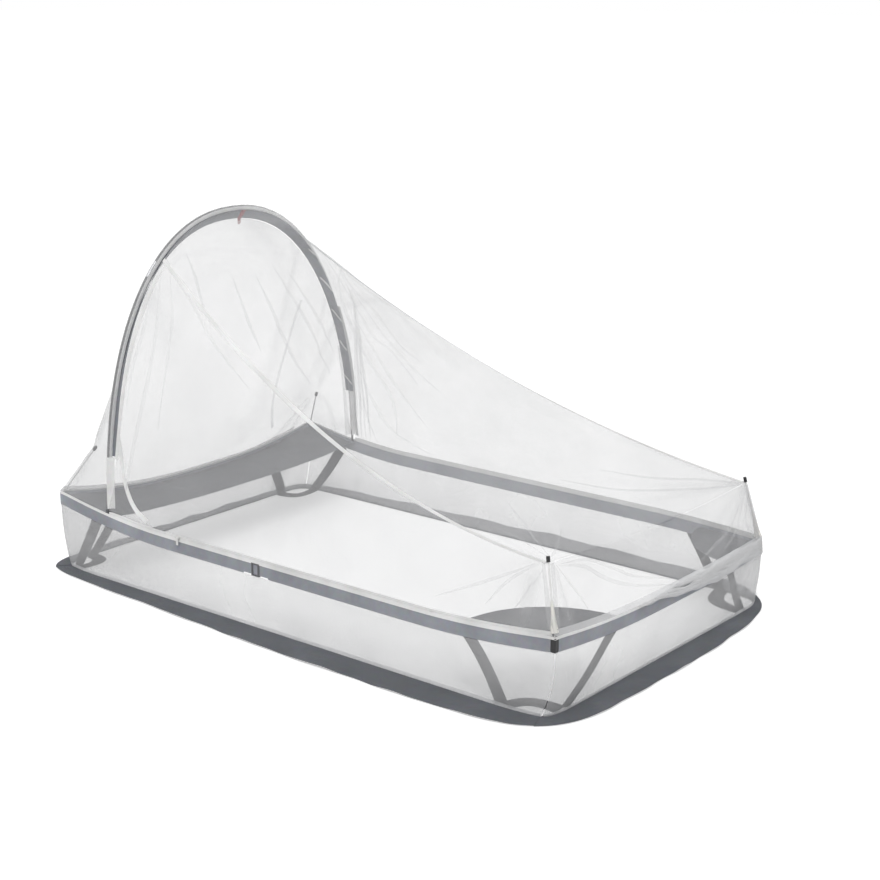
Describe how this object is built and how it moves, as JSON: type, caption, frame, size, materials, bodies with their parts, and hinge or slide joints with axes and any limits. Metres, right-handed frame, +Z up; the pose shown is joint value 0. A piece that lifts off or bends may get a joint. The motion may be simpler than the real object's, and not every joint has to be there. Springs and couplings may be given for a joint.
{
  "type": "mosquito net tent",
  "caption": "Self-standing mosquito net tent that fits round a bed, with a folding arch, corner rods, zipped sides, a band harness and a floor skirt.",
  "frame": {"origin": "middle of the skirt's outline, on the floor", "axes": "+X to the foot end, +Y to the far long side, +Z up; the arch stands at the head end on the -X side"},
  "size_m": [2.1639, 1.4163, 1.1782],
  "materials": {
    "netting": "fine polyester mesh",
    "band_fabric": "matt woven",
    "skirt_fabric": "matt woven",
    "white_tape": "woven binding tape",
    "red_webbing": "woven webbing",
    "black_plastic": "moulded, satin",
    "pole_tube": "glass-fibre tube, satin",
    "rod_white": "glass-fibre rod, satin",
    "ferrule": "drawn tube"
  },
  "bodies": {
    "harness": {"band_near": "band_fabric", "wall_net_near": "netting", "skirt_near": "skirt_fabric", "band_foot": "band_fabric", "wall_net_foot": "netting", "skirt_foot": "skirt_fabric", "band_far": "band_fabric", "wall_net_far": "netting", "skirt_far": "skirt_fabric", "band_head": "band_fabric", "wall_net_head": "netting", "skirt_head": "skirt_fabric", "rim_binding": "white_tape", "corner_pocket_head_near": "black_plastic", "corner_strap_head_near": "band_fabric", "corner_pocket_foot_near": "black_plastic", "corner_strap_foot_near": "band_fabric", "corner_pocket_foot_far": "black_plastic", "corner_strap_foot_far": "band_fabric", "corner_pocket_head_far": "black_plastic", "corner_strap_head_far": "band_fabric", "arch_pocket_near": "band_fabric", "seam_tape_near": "white_tape", "canopy_near_net": "netting", "zip_tape_near": "white_tape", "foot_gusset_near": "band_fabric", "arch_pocket_far": "band_fabric", "seam_tape_far": "white_tape", "canopy_far_net": "netting", "zip_tape_far": "white_tape", "foot_gusset_far": "band_fabric", "canopy_roof_net": "netting", "canopy_foot_net": "netting", "canopy_head_net": "netting", "head_strip": "band_fabric"},
    "arch": {"arch_pole_near": "pole_tube", "arch_pole_top": "pole_tube", "arch_pole_far": "pole_tube", "arch_ferrule_near": "ferrule", "arch_ferrule_far": "ferrule", "arch_tip_near": "black_plastic", "arch_tip_far": "black_plastic", "arch_shock_cord": "white_tape", "arch_sleeve": "white_tape", "arch_belt": "band_fabric", "loop_tab": "red_webbing"},
    "loop": {"hanging_loop": "red_webbing"},
    "adjuster": {"band_adjuster": "black_plastic"},
    "rod_head_near": {"corner_rod_head_near": "rod_white", "rod_cap_head_near": "black_plastic"},
    "rod_foot_near": {"corner_rod_foot_near": "rod_white", "rod_cap_foot_near": "black_plastic"},
    "rod_foot_far": {"corner_rod_foot_far": "rod_white", "rod_cap_foot_far": "black_plastic"},
    "rod_head_far": {"corner_rod_head_far": "rod_white", "rod_cap_head_far": "black_plastic"},
    "zip_near": {"zip_slider_near": "black_plastic"},
    "pull_near": {"zip_pull_near": "black_plastic"},
    "zip_far": {"zip_slider_far": "black_plastic"},
    "pull_far": {"zip_pull_far": "black_plastic"}
  },
  "joints": [
    {"name": "arch_fold", "type": "hinge", "parent": "harness", "child": "arch", "pos_m": [-0.773, 0, 0.2285], "axis": [0, 1, 0], "range_deg": [0, 78], "deforming": ["canopy_roof_net", "canopy_foot_net", "canopy_head_net", "canopy_near_net", "canopy_far_net", "seam_tape_near", "seam_tape_far"]},
    {"name": "rod_fold_head_near", "type": "hinge", "parent": "harness", "child": "rod_head_near", "pos_m": [-0.996, -0.6, 0.2652], "axis": [1, 0, 0], "range_deg": [-60, 0]},
    {"name": "rod_fold_foot_near", "type": "hinge", "parent": "harness", "child": "rod_foot_near", "pos_m": [1.016, -0.604, 0.2522], "axis": [1, 0, 0], "range_deg": [-65, 0]},
    {"name": "rod_fold_foot_far", "type": "hinge", "parent": "harness", "child": "rod_foot_far", "pos_m": [0.976, 0.567, 0.2052], "axis": [1, 0, 0], "range_deg": [0, 65]},
    {"name": "rod_fold_head_far", "type": "hinge", "parent": "harness", "child": "rod_head_far", "pos_m": [-1, 0.607, 0.2572], "axis": [1, 0, 0], "range_deg": [0, 45]},
    {"name": "band_adjuster_slide", "type": "slide", "parent": "harness", "child": "adjuster", "axis": [1, 0, 0], "range_m": [-0.03, 0.03]},
    {"name": "zip_slide_near", "type": "slide", "parent": "harness", "child": "zip_near", "axis": [1, 0, 0], "range_m": [0, 0.9]},
    {"name": "zip_pull_swing_near", "type": "hinge", "parent": "zip_near", "child": "pull_near", "pos_m": [-0.438, -0.606, 0.2248], "axis": [1, 0, 0], "range_deg": [-160, 0]},
    {"name": "zip_slide_far", "type": "slide", "parent": "harness", "child": "zip_far", "axis": [1, 0, 0], "range_m": [0, 0.9]},
    {"name": "zip_pull_swing_far", "type": "hinge", "parent": "zip_far", "child": "pull_far", "pos_m": [-0.438, 0.606, 0.2248], "axis": [1, 0, 0], "range_deg": [0, 160]},
    {"name": "hanging_loop_swing", "type": "hinge", "parent": "arch", "child": "loop", "pos_m": [-0.78341, 0.04627, 1.1291], "axis": [0, 1, 0], "range_deg": [-45, 45]}
  ],
  "couplings": [
    {"joint": "rod_fold_head_near", "follows": "arch_fold", "ratio": -0.76915},
    {"joint": "rod_fold_foot_near", "follows": "arch_fold", "ratio": -0.83325},
    {"joint": "rod_fold_foot_far", "follows": "arch_fold", "ratio": 0.83325},
    {"joint": "rod_fold_head_far", "follows": "arch_fold", "ratio": 0.57687}
  ]
}
